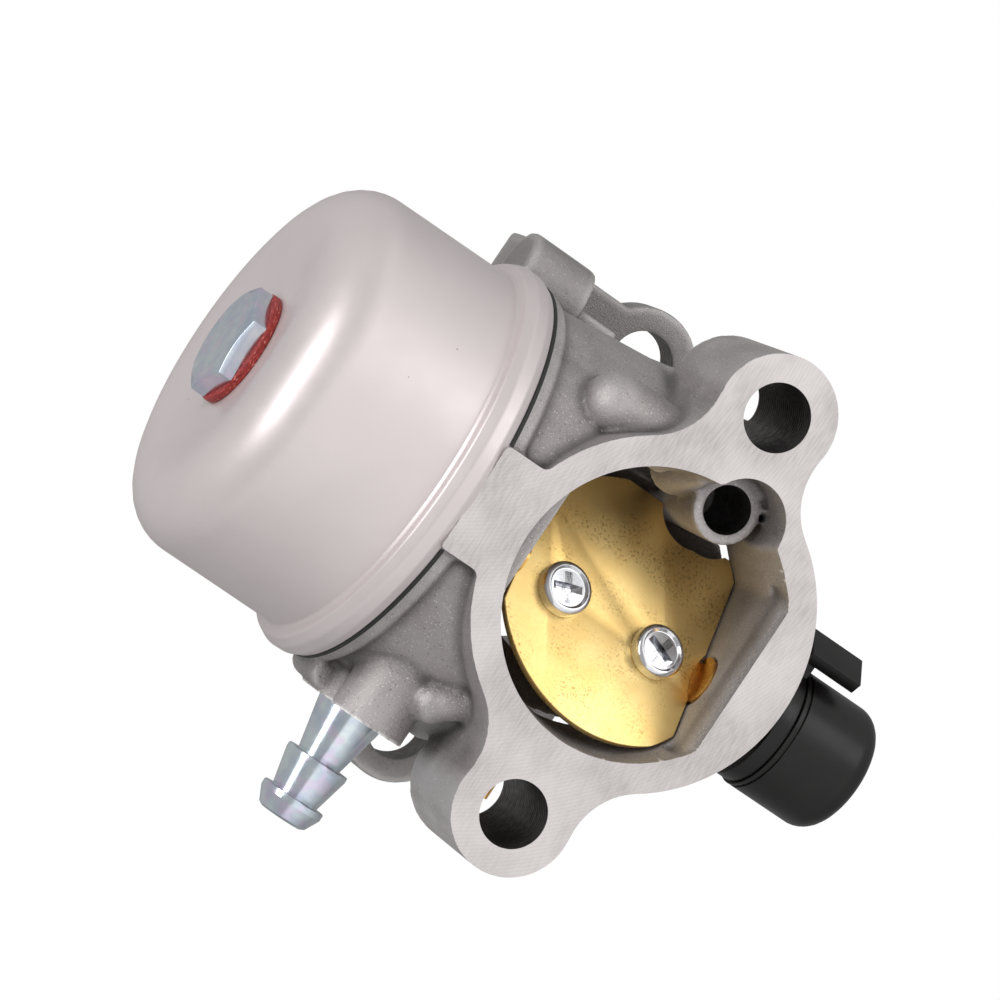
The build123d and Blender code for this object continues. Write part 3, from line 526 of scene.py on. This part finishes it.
def cast_features(bm):
    """The inlet's nose, the thumb under the -X ear and the knuckle behind the +X ear."""
    capsule(bm, 5.0, (17.8, -43.0, -16.8), (30.6, -43.0, -16.8))
    capsule(bm, 4.0, (-19.2, -50.6, -19.4), (-19.2, -50.6, -6.0))
    capsule(bm, 2.2, (23.4, -47.6, -13.4), (20.2, -48.4, -8.6))


def mark_hollow_shade(mesh, spread_steps=10):
    """How concave the casting is at each point, for painted shade in its corners and recesses."""
    count = len(mesh.vertices)
    places = np.empty(count * 3)
    mesh.vertices.foreach_get("co", places)
    places = places.reshape(-1, 3)
    normals = np.array([v.normal for v in mesh.vertices])
    ends = np.empty(len(mesh.edges) * 2, dtype=np.int64)
    mesh.edges.foreach_get("vertices", ends)
    first, second = ends.reshape(-1, 2).T
    degree = np.bincount(first, minlength=count) + np.bincount(second, minlength=count)

    def neighbour_mean(values):
        total = np.bincount(first, values[second], count)
        total = total + np.bincount(second, values[first], count)
        return total / np.maximum(degree, 1)

    middle = np.stack([neighbour_mean(places[:, axis]) for axis in range(3)], axis=1)
    hollow_shade = ((middle - places) * normals).sum(axis=1) / (VOXEL * VOXEL)
    for _ in range(spread_steps):
        hollow_shade = 0.5 * hollow_shade + 0.5 * neighbour_mean(hollow_shade)
    shade = mesh.attributes.new("hollow_shade", "FLOAT", "POINT")
    shade.data.foreach_set("value", np.clip(hollow_shade * HOLLOW_SHADE_GAIN, -1, 1).astype(np.float32))


def mark_machined(mesh):
    """Machined faces take the second material, and their outline carries a burr painted white as a
    bright highlight.
    """
    edge = mesh.attributes.new("edge", "FLOAT", "POINT")
    machined_verts, cast_verts = set(), set()
    for polygon in mesh.polygons:
        c, n = polygon.center, polygon.normal
        flat = abs(n.y) > 0.999 and (abs(c.y - AIR_Y) < 1e-5 or abs(c.y) < 1e-5)
        flat = flat or (abs(n.z) > 0.999 and abs(c.z - COVER_Z) < 1e-5)
        flat = flat or (abs(n.x) > 0.999 and abs(c.x - INLET_X) < 1e-5)
        bored = any(
            abs((Vector((c.x - x, c.z - z))).length - r) < 0.03 * MM and abs(n.y) < 0.05
            for x, z, r in HOLES
        )
        polygon.material_index = 1 if flat else (2 if bored else 0)
        (machined_verts if flat else cast_verts).update(polygon.vertices)
    for index in machined_verts & cast_verts:
        edge.data[index].value = 1.0


def body_piece():
    """Cast first, with soft edges everywhere, then machined to sharp faces and holes."""
    piece = welded_copy("body_casting", "casting", CAST)
    bm = bmesh.new()
    bm.from_mesh(piece.data)
    add_stock(bm)
    cast_features(bm)
    drilled_holes(bm, HOLE_PLUG_LAP, -0.4 * MM)
    bm.to_mesh(piece.data)
    bm.free()
    remesh = piece.modifiers.new("cast", "REMESH")
    remesh.mode = "VOXEL"
    remesh.voxel_size = VOXEL
    smooth = piece.modifiers.new("soft", "SMOOTH")
    smooth.factor = 0.5
    smooth.iterations = 5
    thin = piece.modifiers.new("thin", "DECIMATE")
    thin.ratio = 0.42
    apply_modifiers(piece)
    mark_hollow_shade(piece.data)
    reach = SKIM_DEPTH
    cut_away(piece, cutter_box((-reach, AIR_Y - reach, -reach), (reach, AIR_Y, reach)))
    cut_away(piece, cutter_box((-reach, 0, -reach), (reach, reach, reach)))
    cut_away(piece, cutter_box(INLET_FACE_LOW, INLET_FACE_HIGH))
    holes = bmesh.new()
    drilled_holes(holes, 0.0, 0.8 * MM)
    cut_away(piece, holes)
    piece.data.materials.clear()
    for material in (CAST, MACHINED, SHADED_BORE):
        piece.data.materials.append(material)
    mark_machined(piece.data)
    smooth_shade(piece.data, 40)
    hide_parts("body_casting")
    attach(piece, "carburetor")
    return piece


# ---- bowl and its fixings ----------------------------------------------------------
def bowl_axis():
    return Matrix.Translation((0, BOWL_Y, 0))


def dish(radius_out, radius_in, z_out, z_in, steps=14):
    """The smooth rise of the bowl's bottom, from its corner to the bolt's seat."""
    curve = []
    for step in range(steps + 1):
        t = step / steps
        radius = radius_out + (radius_in - radius_out) * t
        height = z_out + (z_in - z_out) * t * t * (3 - 2 * t)
        curve.append((radius, height, 0))
    return curve


def bowl_piece():
    outside = [
        (24.95, -25.8, 0.0),
        (27.4, -25.8, 0.35),
        (27.95, -27.0, 1.2),
        (28.0, -28.6, 1.2),
        (27.3, -29.95, 0.5),
        (26.25, -30.1, 0.25),
        (25.86, -30.45, 0.3),
        (25.63, -53.6, 6.9),
    ]
    bottom = dish(18.6, 8.6, -53.6, -52.1) + [(4.2, -52.1, 0.1), (4.2, -51.15, 0.1)]
    inside = dish(18.6, 8.6, -52.65, -51.15)[::-1] + [(24.68, -52.65, 5.95)]
    outline = rounded_outline(outside + bottom + inside, steps=10)
    piece = lathe("bowl", outline, BOWL, bowl_axis(), segments=256)
    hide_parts("float_bowl")
    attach(piece, "carburetor")
    return piece


def gasket_piece():
    outline = rounded_outline([
        (24.4, -25.8, 0), (27.5, -25.8, 0.2), (27.5, -25.25, 0.2), (24.4, -25.25, 0),
    ])
    piece = lathe("gasket", outline, RUBBER, bowl_axis(), segments=192)
    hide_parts("bowl_gasket")
    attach(piece, "carburetor")
    return piece


def washer_piece():
    outline = rounded_outline([
        (4.2, -53.1, 0), (7.65, -53.1, 0.22), (7.65, -52.1, 0.22), (4.2, -52.1, 0),
    ])
    piece = lathe("washer", outline, FIBRE, bowl_axis(), segments=128)
    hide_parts("bowl_bolt_washer")
    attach(piece, "carburetor")
    return piece


def barb_piece():
    outline = rounded_outline([
        (1.6, -7.5, 0), (2.98, -7.5, 0.2), (2.98, 0.0, 0), (4.5, 0.0, 0.12), (4.3, 1.1, 0.8),
        (3.0, 7.1, 0.1),
        (4.28, 7.1, 0.18), (4.28, 7.8, 0.25), (3.2, 12.5, 0.1),
        (4.3, 12.5, 0.18), (4.3, 13.4, 0.4), (3.35, 15.3, 0.3), (2.8, 15.6, 0.15), (1.6, 15.6, 0.1),
    ])
    place = Matrix.Translation((INLET_X, FUEL_Y, FUEL_Z)) @ Matrix.Rotation(radians(90), 4, "Y")
    piece = lathe("barb", outline, ZINC, place, segments=128)
    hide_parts("fuel_inlet_barb")
    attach(piece, "carburetor")
    return piece


# ---- choke -------------------------------------------------------------------------
def choke_place():
    return Matrix.Translation((CHOKE_X, CHOKE_Y, 0)) @ Matrix.Rotation(-CHOKE_LEAN, 4, "Z")


def pan_head_screw(name, head_mm, height_mm, shank_mm, length_mm, place):
    outline = rounded_outline([
        (0, -length_mm, 0), (shank_mm * 0.8, -length_mm, 0), (shank_mm, -length_mm + 0.4, 0),
        (shank_mm, 0.0, 0), (head_mm, 0.0, 0.15), (head_mm, height_mm, height_mm * 0.35),
        (head_mm * 0.80, height_mm, 0.12), (head_mm * 0.72, height_mm * 0.78, 0.15),
        (0, height_mm * 0.84, 0),
    ], steps=7)
    piece = lathe(name, outline, NICKEL, place, segments=96)
    for wing in (0, 1):
        recess = bmesh.new()
        top = place @ Matrix.Translation((0, 0, height_mm * MM))
        top = top @ Matrix.Rotation(radians(90) * wing, 4, "Z")
        made = bmesh.ops.create_cube(recess, size=1.0)["verts"]
        for v in made:
            deep = v.co.z < 0
            along = head_mm * (0.30 if deep else 0.84)
            across = head_mm * (0.16 if deep else 0.42)
            depth = -height_mm * 0.80 if deep else 0.5 + 0.02 * wing
            v.co = top @ (Vector((2 * v.co.x * along, v.co.y * across, depth)) * MM)
        bmesh.ops.recalc_face_normals(recess, faces=recess.faces)
        cut_away(piece, recess)
    smooth_shade(piece.data, 30)
    return piece


def choke_screw_pieces():
    first = True
    for z, turn in ((-7.25, 20), (7.25, 65)):
        place = choke_place() @ Matrix.Translation((0.3 * MM, 0.2 * MM, z * MM))
        place = place @ Matrix.Rotation(radians(90), 4, "X") @ Matrix.Rotation(radians(turn), 4, "Z")
        name = "choke_screw_low" if z < 0 else "choke_screw_high"
        piece = pan_head_screw(name, 3.4, 1.9, 1.48, 3.4, place)
        if first:
            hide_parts("choke_plate_screws")
        first = False
        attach(piece, "choke_valve")


def cap_piece():
    outline = rounded_outline([
        (6.9, 24.55, 0), (8.5, 24.55, 0.15), (8.5, 25.0, 0.08), (8.25, 25.0, 0), (8.25, 25.4, 0),
        (8.5, 25.4, 0.12), (8.5, 37.0, 3.0), (0, 37.0, 0), (0, 34.9, 0), (6.9, 34.9, 0.4),
    ], steps=10)
    piece = lathe("cap", outline, NYLON, Matrix.Translation((CHOKE_X, CHOKE_Y, 0)), segments=160)
    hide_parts("choke_lever_cap")
    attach(piece, "choke_lever")
    return piece


# ---- the nodes that keep their CAD shape -------------------------------------------
NODE_MATERIALS = {
    "main_jet": BRASS, "main_nozzle": BRASS, "idle_jet": BRASS, "inlet_valve_seat": BRASS,
    "inlet_needle": BRASS, "float_ring": NYLON, "float_hinge_pin": NICKEL, "choke_shaft": BRASS,
    "choke_shaft_clip": WIRE, "choke_shaft_seal": RUBBER, "choke_relief_spring": WIRE,
    "throttle_shaft_seal": RUBBER, "idle_speed_spring": WIRE, "idle_mixture_spring": WIRE,
}


def dress_nodes():
    for node, material in NODE_MATERIALS.items():
        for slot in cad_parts[node].material_slots:
            slot.material = material


body_piece()
bowl_piece()
gasket_piece()
washer_piece()
barb_piece()
softened("bowl_bolt", "bolt", ZINC, 0.10, "carburetor", sharp_degrees=14)
softened("choke_plate", "choke_disc", BRASS_PLATE, 0.12, "choke_valve")
choke_screw_pieces()
softened("choke_lever", "choke_arm", NYLON, 0.25, "choke_lever")
cap_piece()
softened("throttle_shaft", "throttle_rod", ZINC, 0.15, "throttle")
softened("throttle_plate", "throttle_disc", BRASS_PLATE, 0.10, "throttle")
softened("throttle_plate_screws", "throttle_screws", NICKEL, 0.10, "throttle")
softened("throttle_lever", "throttle_arm", NYLON, 0.30, "throttle")
softened("throttle_lever_screw", "throttle_arm_screw", NICKEL, 0.10, "throttle")
softened("idle_speed_screw", "speed_screw", ZINC, 0.10, "idle_speed_screw")
softened("idle_mixture_screw", "mixture_screw", BRASS, 0.10, "idle_mixture_screw")
softened("transfer_chamber_plug", "chamber_plug", DISC, 0.08, "carburetor")
dress_nodes()


# ---- camera, floor and light -------------------------------------------------------
CAMERA_LENS = 167.4
CAMERA_PLACE = (0.01557697, -0.57867336, -0.19765928)
CAMERA_AHEAD = (-0.03126784, 0.94784628, 0.31719041)
CAMERA_UP = (-0.83120482, 0.15158177, -0.53490327)
FLOOR_HALF, FLOOR_LEVEL = 4.0, -0.60
BRIGHT_SIDE = (-0.15, -0.85, -0.45)      # the sky is brightest in front and below
SKY_LIMITS = {"From Min": -0.6, "From Max": 0.6, "To Min": 0.34, "To Max": 1.10}


def add_camera():
    data = bpy.data.cameras.new("camera")
    data.lens = CAMERA_LENS
    data.sensor_width = 36
    data.clip_start = 0.01
    camera = bpy.data.objects.new("camera", data)
    bpy.context.scene.collection.objects.link(camera)
    place = Vector(CAMERA_PLACE)
    ahead = Vector(CAMERA_AHEAD).normalized()
    right = ahead.cross(Vector(CAMERA_UP)).normalized()
    up = right.cross(ahead)
    columns = (right, up, -ahead, place)
    rows = [[column[axis] for column in columns] for axis in range(3)]
    camera.matrix_world = Matrix((*rows, (0, 0, 0, 1)))
    bpy.context.scene.camera = camera


def add_floor():
    mesh = bpy.data.meshes.new("floor")
    half, level = FLOOR_HALF, FLOOR_LEVEL
    corners = [(-half, -half, level), (half, -half, level), (half, half, level), (-half, half, level)]
    mesh.from_pydata(corners, [], [(0, 1, 2, 3)])
    material = bpy.data.materials.new("floor")
    material.use_nodes = True
    shader = material.node_tree.nodes["Principled BSDF"]
    shader.inputs["Base Color"].default_value = (0.82, 0.82, 0.82, 1)
    shader.inputs["Roughness"].default_value = 0.9
    make_object("floor", mesh, material)


def add_softbox(name, direction, distance, width, height, power, target=(0, -0.03, -0.012)):
    data = bpy.data.lights.new(name, "AREA")
    data.shape = "RECTANGLE"
    data.size = width
    data.size_y = height
    data.energy = power
    light = bpy.data.objects.new(name, data)
    bpy.context.scene.collection.objects.link(light)
    out = Vector(direction).normalized()
    light.location = Vector(target) + out * distance
    light.rotation_euler = out.to_track_quat("Z", "Y").to_euler()


def add_world():
    world = bpy.data.worlds.new("studio")
    bpy.context.scene.world = world
    world.use_nodes = True
    tree = world.node_tree
    background = tree.nodes["Background"]
    coords = tree.nodes.new("ShaderNodeTexCoord")
    side = tree.nodes.new("ShaderNodeVectorMath")
    side.operation = "DOT_PRODUCT"
    side.inputs[1].default_value = Vector(BRIGHT_SIDE).normalized()
    fall = tree.nodes.new("ShaderNodeMapRange")
    for name, number in SKY_LIMITS.items():
        fall.inputs[name].default_value = number
    tree.links.new(coords.outputs["Generated"], side.inputs[0])
    tree.links.new(side.outputs["Value"], fall.inputs["Value"])
    tree.links.new(fall.outputs["Result"], background.inputs["Strength"])
    background.inputs["Color"].default_value = (1.0, 1.0, 1.0, 1)
    white = tree.nodes.new("ShaderNodeBackground")
    white.inputs["Color"].default_value = (1, 1, 1, 1)
    path = tree.nodes.new("ShaderNodeLightPath")
    mix = tree.nodes.new("ShaderNodeMixShader")
    tree.links.new(path.outputs["Is Camera Ray"], mix.inputs[0])
    tree.links.new(background.outputs[0], mix.inputs[1])
    tree.links.new(white.outputs[0], mix.inputs[2])
    tree.links.new(mix.outputs[0], tree.nodes["World Output"].inputs["Surface"])


add_camera()
add_floor()
add_softbox("key", (-0.03, -0.40, -0.92), 0.42, 0.40, 0.16, 1.0)
add_softbox("front", (-0.60, -0.65, 0.42), 0.60, 0.30, 0.30, 0.45)
add_world()
bpy.context.scene.view_settings.view_transform = "Standard"
